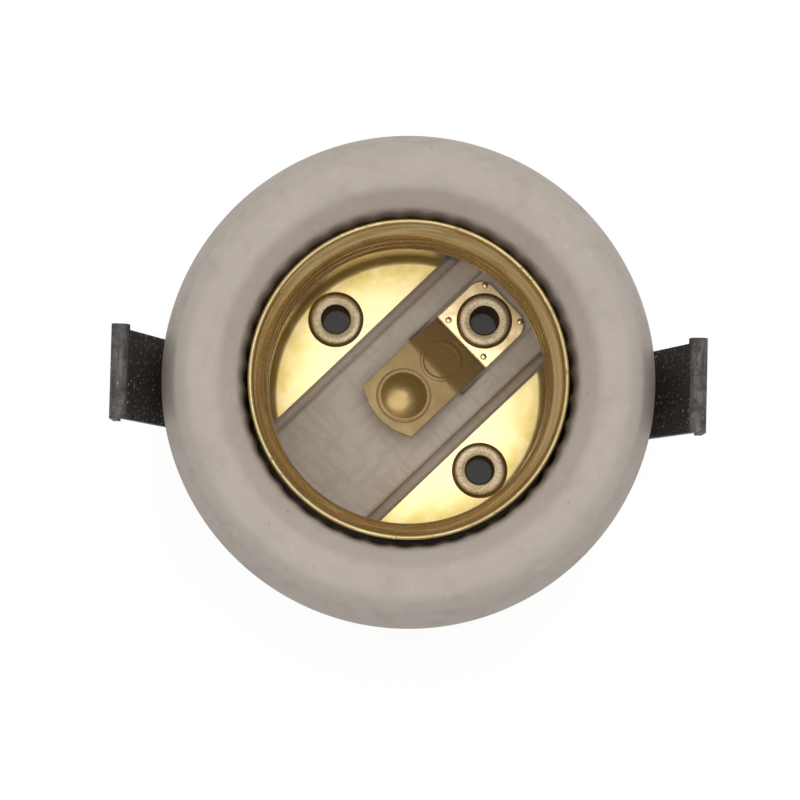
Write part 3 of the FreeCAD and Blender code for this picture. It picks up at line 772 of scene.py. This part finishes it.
def solid(name, shape, near, far):
    """A solid between two like rings of points."""
    shape.faces.new(near)
    shape.faces.new(list(reversed(far)))
    skin(shape, [(near, far)])
    return linked(name, shape)


def prism(name, outline, low, high, turn):
    """A solid from a closed outline (across, up), from low to high along its own normal."""
    shape = bmesh.new()
    near = [shape.verts.new((low, across, up)) for across, up in outline]
    far = [shape.verts.new((high, across, up)) for across, up in outline]
    shape.transform(turn)
    return solid(name, shape, near, far)


def block(name, across, half_width, up, turn=Matrix()):
    """A box between two places across and two levels, as wide on both sides."""
    low, high = up
    outline = [(-half_width, low), (half_width, low), (half_width, high), (-half_width, high)]
    return prism(name, outline, *across, turn)


def rod(name, radius, middle, up, steps=48):
    """An upright cylinder between two levels, its edges off the axes for a clean cut."""
    shape = bmesh.new()
    rows = []
    for level in up:
        row = []
        for step in range(steps):
            angle = 2 * math.pi * (step + 0.37) / steps
            x, y = middle[0] + radius * math.cos(angle), middle[1] + radius * math.sin(angle)
            row.append(shape.verts.new((x, y, level)))
        rows.append(row)
    return solid(name, shape, *rows)


def carve(thing, added=(), taken=()):
    """Joins solids to a mesh, takes others out and keeps the result as its own mesh."""
    for tools, operation in ((added, "UNION"), (taken, "DIFFERENCE")):
        for tool in tools:
            knife = thing.modifiers.new("carve", "BOOLEAN")
            knife.operation = operation
            knife.solver = "EXACT"
            knife.object = tool
    bpy.context.view_layer.update()
    graph = bpy.context.evaluated_depsgraph_get()
    done = bpy.data.meshes.new_from_object(thing.evaluated_get(graph))
    thing.modifiers.clear()
    old = thing.data
    if len(done.polygons) < len(old.polygons) / 2:
        raise RuntimeError(f"{thing.name} could not be cut")
    thing.data = done
    bpy.data.meshes.remove(old)
    for tool in (*added, *taken):
        mesh = tool.data
        bpy.data.objects.remove(tool)
        bpy.data.meshes.remove(mesh)


def spot_of(name):
    """Where a node's middle lies, seen along the axis."""
    low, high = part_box(name)
    return ((low.x + high.x) / 2, (low.y + high.y) / 2)


def body_of(name):
    for body, members in frame["record"]["behaviour"]["bodies"].items():
        if name in members:
            return body
    raise RuntimeError(f"no body carries {name}")


def finish_node(name, material, degrees=30.0):
    if name not in frame["nodes"]:
        raise RuntimeError(f"the model has no node named {name}")
    thing = frame["nodes"][name]
    paint(thing, material)
    soften(thing, degrees)


class LAMPHOLDER_OT_porcelain(bpy.types.Operator):
    """Build the porcelain body with its soft rim and fluted bore"""

    bl_idname = "lampholder.porcelain"
    bl_label = "Porcelain Body"

    def execute(self, context):
        size = context.scene.lampholder_sizes
        thing = put(
            "fired_body",
            swept(self.rings(size), size.flute_count * 8),
            porcelain_material(context.scene.lampholder_colours, size.seat_level),
            body_of("porcelain_body"),
            "porcelain",
            "porcelain_body",
        )
        carve(thing, self.added(size.seat_level), self.taken(size))
        soften(thing, 38.0)
        return {"FINISHED"}

    def rings(self, size):
        """Over the outside and the face, down the bore and through to the chamber."""
        outline = [tuple(value * MM for value in corner) for corner in OUTLINE]
        throat, bore = outline[-2], outline[-1]

        def fluted(angle):
            share = ((angle * size.flute_count / (2 * math.pi) + 0.5) % 1.0) * 2 - 1
            depth = size.flute_reach - size.cusp_radius
            return size.flute_reach - depth * share * share

        def edge(angle):
            radius = fluted(angle)
            share = (radius - bore[0]) / (throat[0] - bore[0])
            return (radius, bore[1] + share * (throat[1] - bore[1]))

        def brink(angle):
            radius = throat[0] - (size.flute_reach - fluted(angle)) * SCALLOP
            return (radius - BRINK_INSET, throat[1] - BRINK_DROP)

        rings = circles(rounded(outline)[:-1])
        rings += [brink, edge]
        for level in FLUTE_ROWS:
            rings.append(lambda angle, level=level: (fluted(angle), level))
        rings += circles([(WELL_RADIUS, level) for level in (WELL_TOP, WELL_ROW, size.seat_level)])
        # The middle rivet's hole takes away the small eye that joins the two sides
        chamber = [(EYE_RADIUS, CHAMBER_LEVEL, 0.0)]
        chamber += [(SKIRT_INNER_RADIUS, CHAMBER_LEVEL, CHAMBER_ROUNDING)]
        chamber += [(SKIRT_INNER_RADIUS, 0.0, 0.0)]
        return rings + circles([(EYE_RADIUS, size.seat_level), *rounded(chamber)])

    def added(self, seat):
        """The ledge and the rib across the floor, and the strap's land at the back."""
        well, skirt = WELL_RADIUS + BITE, SKIRT_INNER_RADIUS + BITE
        ledge, rib = (seat - BITE, seat + LEDGE_RISE), (seat - BITE, seat + RIB_RISE)
        return [
            block("ledge", (-well, well), LEDGE_HALF_WIDTH, ledge, ALONG_RIB),
            block("rib", (-well, well), RIB_HALF_WIDTH, rib, ALONG_RIB),
            block("land", (-skirt, skirt), LAND_HALF_WIDTH, (LAND_LEVEL, LAND_TOP)),
        ]

    def taken(self, size):
        """Rivet holes, the contact's pocket, tip holes, strap slots and wire notches."""
        rib_top = size.seat_level + RIB_RISE
        below = LAND_LEVEL - BITE
        middle = (0.0, 0.0)
        spots = [middle, *(spot_of(name) for name in FRONT_RIVETS)]
        hole = size.rivet_tube + RIVET_PLAY
        taken = [rod("hole", hole, spot, (below, OPEN_LEVEL)) for spot in spots]
        along, up = (POCKET_START, WELL_RADIUS), (rib_top - POCKET_DEPTH, OPEN_LEVEL)
        taken.append(block("pocket", along, POCKET_HALF_WIDTH, up, ALONG_RIB))
        taken.append(rod("recess", RECESS_RADIUS, middle, (rib_top - RECESS_DEPTH, OPEN_LEVEL)))
        for side in (-1, 1):
            spot, up = (0.0, side * SCREW_PLACE), (below, CHAMBER_LEVEL + TIP_HOLE_DEPTH)
            taken.append(rod("tip", TIP_HOLE_RADIUS, spot, up))
            strap = side * STRAP_PLACE
            along = (strap - STRAP_HALF_LENGTH, strap + STRAP_HALF_LENGTH)
            taken.append(block("slot", along, STRAP_HALF_WIDTH, (-BITE, LAND_LEVEL)))
        foot = (-NOTCH_HALF_WIDTH, -BITE, 0.0)
        arch = [foot, (NOTCH_HALF_WIDTH, -BITE, 0.0)]
        arch += [(side * NOTCH_HALF_WIDTH, NOTCH_RISE, NOTCH_ROUNDING) for side in (1, -1)]
        arch = rounded([*arch, foot])[:-1]
        taken.append(prism("notches", arch, -NOTCH_REACH, NOTCH_REACH, QUARTER_TURN))
        return taken


class LAMPHOLDER_OT_shell(bpy.types.Operator):
    """Build the brass shell with its rolled lamp thread and two legs"""

    bl_idname = "lampholder.shell"
    bl_label = "Screw Shell"

    def execute(self, context):
        size = context.scene.lampholder_sizes
        thing = put(
            "thread_shell",
            swept(self.rings(size), size.turn_steps),
            shell_material(context.scene.lampholder_colours, size),
            body_of("screw_shell"),
            "shell_brass",
            "screw_shell",
        )
        carve(thing, taken=self.taken(size))
        soften(thing, 40.0)
        return {"FINISHED"}

    def rings(self, size):
        """Down the outside of the drawn cup, across its foot, up the inside and over the rim."""
        thick, bend = size.brass_thick, size.foot_bend
        leg, mouth = size.leg_radius, size.mouth_level
        mean = (size.crest_radius + size.root_radius) / 2
        swing = (size.root_radius - size.crest_radius) / 2

        def inside(level, angle):
            phase = 2 * math.pi * ((mouth - level) / size.thread_pitch) + angle
            # The drawn thread is rounder at its crests than at its roots
            wave = math.cos(phase) + CREST_BULGE * math.cos(2 * phase)
            radius = mean + swing * wave / (1 + CREST_BULGE)
            flared = smooth(level, mouth - FLARE_START, mouth - FLARE_END)
            radius = radius + (size.root_radius + FLARE - radius) * flared
            end = size.thread_low
            full = smooth(level, end - RUN_OUT_BELOW, end + RUN_OUT_ABOVE)
            return leg + (radius - leg) * full

        def wall(level, shift=0.0):
            return lambda angle: (inside(level, angle) + shift, level)

        def lip(turn):
            def at(angle):
                reach = thick / 2
                middle = inside(top, angle) + reach
                return (middle - reach * math.cos(turn), top + reach * math.sin(turn))

            return at

        top, low = mouth - thick / 2, size.seat_level + bend
        levels = [top + (low - top) * row / SHELL_ROWS for row in range(SHELL_ROWS + 1)]
        foot = size.seat_level + thick
        corner = arc(leg - INNER_BEND, foot + INNER_BEND, INNER_BEND, -90, 0, 6)
        # The windows take away the small eye in the middle of the foot
        rings = [wall(level, thick) for level in levels]
        rings += circles(arc(leg + thick - bend, low, bend, 0, -90, 6)[1:])
        rings += circles([(FOOT_EYE, size.seat_level), (FOOT_EYE, foot), *corner])
        rings += [wall(level) for level in reversed(levels) if level > corner[-1][1] + 0.02 * MM]
        return rings + [lip(math.pi * step / 8) for step in range(1, 8)]

    def taken(self, size):
        """The windows between the legs and the rivets' holes in the feet."""
        half, rounding, upper = size.window_half_width, size.window_corner, size.window_top
        below = size.seat_level - BITE
        outline = [(-half, below), (half, below)]
        outline += arc(half - rounding, upper - rounding, rounding, 0, 90, 8)
        outline += arc(rounding - half, upper - rounding, rounding, 90, 180, 8)
        taken = [prism("window", outline, -WINDOW_REACH, WINDOW_REACH, ALONG_RIB)]
        up = (below, size.seat_level + 2 * size.brass_thick)
        for name in ("shell_rivet_left", "shell_rivet_right"):
            taken.append(rod("hole", size.rivet_tube + RIVET_PLAY, spot_of(name), up))
        return taken


class LAMPHOLDER_OT_contact(bpy.types.Operator):
    """Finish the spring centre contact"""

    bl_idname = "lampholder.contact"
    bl_label = "Centre Contact"

    def execute(self, context):
        material = contact_material(context.scene.lampholder_colours)
        finish_node("centre_contact", material, 24.0)
        rivet = math.hypot(*spot_of("contact_rivet"))
        # Four punch marks round the rivet and a ring struck round the tongue's dome
        mark = circles([(radius * MM, level * MM) for radius, level in MARK])
        marks = bmesh.new()
        for along in (-MARK_OFFSET, MARK_OFFSET):
            for across in (-MARK_OFFSET, MARK_OFFSET):
                spot = Matrix.Translation((rivet + along, across, PLATE_TOP))
                self.add(marks, swept(mark, 20), ALONG_RIB @ spot)
        bead = circles(arc(BEAD_RADIUS, 0.0, BEAD_THICK, 0, 342, 19))
        tilt = Matrix.Rotation(TONGUE_TILT, 4, "Y")
        middle = Matrix.Translation((DOME_PLACE, 0.0, DOME_LEVEL))
        self.add(marks, swept(bead, 72), ALONG_RIB @ middle @ tilt)
        body = body_of("centre_contact")
        soften(put("contact_marks", marks, material, body, "spring_brass"), 60.0)
        return {"FINISHED"}

    def add(self, whole, shape, place):
        """Moves a shape and adds it to another one."""
        shape.transform(place)
        mesh = bpy.data.meshes.new("mark")
        shape.to_mesh(mesh)
        shape.free()
        whole.from_mesh(mesh)
        bpy.data.meshes.remove(mesh)


class LAMPHOLDER_OT_rivets(bpy.types.Operator):
    """Build the hollow rivets with their turned flanges"""

    bl_idname = "lampholder.rivets"
    bl_label = "Hollow Rivets"

    def execute(self, context):
        size = context.scene.lampholder_sizes
        colours = context.scene.lampholder_colours
        brass = rivet_material(colours)
        steel = zinc_material(colours, "bare_steel", 0.42)
        for name in FRONT_RIVETS:
            self.rivet(size, name, brass, "rivet_brass")
        self.rivet(size, "bracket_rivet", steel, "bare_steel")
        finish_node("bracket_washer", steel)
        finish_node("shell_rivet_washer", steel)
        return {"FINISHED"}

    def rivet(self, size, name, material, slot):
        low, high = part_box(name)
        front, back = high.z - FLANGE_HEIGHT, low.z + ROLLED_HEIGHT
        bore, tube, flange = size.rivet_bore, size.rivet_tube, size.flange_radius
        points = [(bore, back - 0.2 * MM)]
        points += arc(ROLL_MIDDLE, back, ROLL_RADIUS, 180, 360, 12)
        points += [(tube, back), (tube, front), (flange - 0.03 * MM, front)]
        points += [(flange, front + 0.12 * MM)]
        points += [(radius * MM, front + height * MM) for radius, height in LAND]
        points += [(bore + 0.14 * MM, front + 0.44 * MM), (bore, front + 0.15 * MM)]
        shape = swept(circles(points), 72)
        shape.transform(Matrix.Translation((*spot_of(name), 0.0)))
        soften(put(f"{name}_turned", shape, material, body_of(name), slot, name), 35.0)


class LAMPHOLDER_OT_terminals(bpy.types.Operator):
    """Finish the terminals and build their threaded screws"""

    bl_idname = "lampholder.terminals"
    bl_label = "Terminals"

    def execute(self, context):
        size = context.scene.lampholder_sizes
        colours = context.scene.lampholder_colours
        brass = terminal_material(colours)
        zinc = zinc_material(colours, "zinc_plate", 0.3)
        for wire in ("live", "neutral"):
            finish_node(f"{wire}_terminal", brass)
            finish_node(f"{wire}_washer", zinc)
            self.screw(size, zinc, f"{wire}_screw")
        return {"FINISHED"}

    def screw(self, size, material, name):
        low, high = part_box(name)
        place = Matrix.Translation((*spot_of(name), 0.0))
        neck, end = low.z + size.head_height, high.z - TIP_HEIGHT
        outer, pitch, head = size.screw_radius, size.screw_pitch, size.head_radius

        def shank(level):
            def at(angle):
                share = ((level - neck) / pitch - angle / (2 * math.pi)) % 1.0
                depth = GROOVE * abs(2 * share - 1)
                depth *= smooth(level, neck, neck + pitch)
                taper = TIP_TAPER * smooth(level, end - TAPER_LENGTH, end)
                return (outer - depth - taper, level)

            return at

        points = [(CENTRE, low.z), (head - HEAD_EDGE, low.z)]
        points += arc(head - HEAD_EDGE, low.z + HEAD_EDGE, HEAD_EDGE, -90, 0, 6)[1:]
        rings = circles([*points, (head, neck), (outer, neck)])
        count = int((end - neck) / (pitch / ROWS_IN_TURN))
        rings += [shank(neck + (end - neck) * index / count) for index in range(1, count + 1)]
        rings += circles([(outer - TIP_INSET, high.z), (CENTRE, high.z)])
        shape = swept(rings, 60)
        shape.transform(place)
        thing = put(f"{name}_threaded", shape, material, body_of(name), "zinc_steel", name)
        reach, up = head * SLOT_REACH, (low.z - BITE, low.z + size.slot_depth)
        carve(thing, taken=[block("slot", (-reach, reach), size.slot_half_width, up, place)])
        soften(thing, 35.0)


class LAMPHOLDER_OT_bracket(bpy.types.Operator):
    """Finish the snap-in steel bracket"""

    bl_idname = "lampholder.bracket"
    bl_label = "Mounting Bracket"

    def execute(self, context):
        material = bracket_material(context.scene.lampholder_colours)
        finish_node("mounting_bracket", material, 24.0)
        return {"FINISHED"}


class LAMPHOLDER_OT_stage(bpy.types.Operator):
    """Set the floor, the lamps, the surroundings and the camera"""

    bl_idname = "lampholder.stage"
    bl_label = "Stage"

    def execute(self, context):
        scene = context.scene
        stage = scene.lampholder_stage
        self.floor(scene)
        self.lamp("front_lamp", FRONT_LAMP_PLACE, FRONT_LAMP_SIZE, stage.fill)
        self.lamp("key_lamp", KEY_LAMP_PLACE, KEY_LAMP_SIZE, stage.key)
        self.sky(scene, stage)
        self.camera(scene, stage)
        scene.view_settings.view_transform = "Standard"
        return {"FINISHED"}

    def floor(self, scene):
        shape = bmesh.new()
        bmesh.ops.create_grid(shape, x_segments=1, y_segments=1, size=FLOOR_HALF_WIDTH)
        floor = linked("floor", shape)
        made = Recipe("floor_white")
        ray = made.node("ShaderNodeLightPath", {}, {})
        seen = Level(made, ray.outputs["Is Camera Ray"])
        for kind in ("Is Glossy Ray", "Is Transmission Ray"):
            seen = seen.most(Level(made, ray.outputs[kind]))
        tint = (*scene.lampholder_colours.floor, 1.0)
        lit = made.node("ShaderNodeBsdfDiffuse", {}, {"Color": tint})
        white = {"Color": (1.0, 1.0, 1.0, 1.0), "Strength": GLOW}
        glow = made.node("ShaderNodeEmission", {}, white)
        # Under the object, seen only through the rivets' bores, the floor stays dark
        outside = made.radius().ramp(DARK_RADIUS, PALE_RADIUS, 0.02, 1.0)
        share = seen * outside * GLOW_SHARE
        shaders = {0: share, 1: lit.outputs[0], 2: glow.outputs[0]}
        both = made.node("ShaderNodeMixShader", {}, shaders)
        made.node("ShaderNodeOutputMaterial", {}, {"Surface": both.outputs[0]})
        paint(floor, made.material)

    def lamp(self, name, place, size, power):
        data = bpy.data.lights.new(name, "AREA")
        data.shape = "DISK"
        data.size = size
        data.energy = power
        lamp = bpy.data.objects.new(name, data)
        bpy.context.scene.collection.objects.link(lamp)
        lamp.location = place
        aim = Vector((0.0, 0.0, LAMP_AIM)) - Vector(place)
        lamp.rotation_euler = aim.to_track_quat("-Z", "Y").to_euler()

    def sky(self, scene, stage):
        world = bpy.data.worlds.new("surroundings")
        world.use_nodes = True
        scene.world = world
        ground = world.node_tree.nodes["Background"]
        ground.inputs["Color"].default_value = SKY_COLOUR
        ground.inputs["Strength"].default_value = stage.sky

    def camera(self, scene, stage):
        data = bpy.data.cameras.new("camera")
        data.lens = stage.lens
        data.sensor_width = 36.0
        data.clip_start = 0.01
        data.clip_end = 10.0
        camera = bpy.data.objects.new("camera", data)
        scene.collection.objects.link(camera)
        back = Vector((0.0, -math.sin(stage.tilt), math.cos(stage.tilt)))
        up = Vector((-math.sin(stage.roll), math.cos(stage.roll), 0.0))
        up = (up - back * up.dot(back)).normalized()
        right = up.cross(back).normalized()
        aim = Vector((stage.aim_x, stage.aim_y, stage.aim_level))
        place = aim + back * stage.distance
        turned = Matrix((right, up, back)).transposed().to_4x4()
        turned.translation = place
        camera.matrix_world = turned
        scene.camera = camera


class LAMPHOLDER_PT_panel(bpy.types.Panel):
    """Sizes, colours and stage of the lamp holder"""

    bl_idname = "LAMPHOLDER_PT_panel"
    bl_label = "Lamp Holder"
    bl_space_type = "VIEW_3D"
    bl_region_type = "UI"
    bl_category = "Lamp Holder"

    def draw(self, context):
        layout = self.layout
        layout.use_property_split = True
        for group, heading in (
            (context.scene.lampholder_sizes, "Sizes"),
            (context.scene.lampholder_colours, "Colours"),
            (context.scene.lampholder_stage, "Stage"),
        ):
            box = layout.box()
            box.label(text=heading)
            for field in type(group).__annotations__:
                box.prop(group, field)
        for operator in OPERATORS:
            layout.operator(operator.bl_idname)


OPERATORS = (
    LAMPHOLDER_OT_porcelain,
    LAMPHOLDER_OT_shell,
    LAMPHOLDER_OT_contact,
    LAMPHOLDER_OT_rivets,
    LAMPHOLDER_OT_terminals,
    LAMPHOLDER_OT_bracket,
    LAMPHOLDER_OT_stage,
)
CLASSES = (LampHolderSizes, LampHolderColours, LampHolderStage, *OPERATORS, LAMPHOLDER_PT_panel)


def register():
    for made in CLASSES:
        bpy.utils.register_class(made)
    bpy.types.Scene.lampholder_sizes = PointerProperty(type=LampHolderSizes)
    bpy.types.Scene.lampholder_colours = PointerProperty(type=LampHolderColours)
    bpy.types.Scene.lampholder_stage = PointerProperty(type=LampHolderStage)


def unregister():
    del bpy.types.Scene.lampholder_stage
    del bpy.types.Scene.lampholder_colours
    del bpy.types.Scene.lampholder_sizes
    for made in reversed(CLASSES):
        bpy.utils.unregister_class(made)


def main():
    register()
    bpy.ops.lampholder.porcelain()
    bpy.ops.lampholder.shell()
    bpy.ops.lampholder.contact()
    bpy.ops.lampholder.rivets()
    bpy.ops.lampholder.terminals()
    bpy.ops.lampholder.bracket()
    bpy.ops.lampholder.stage()


if __name__ == "__main__":
    main()
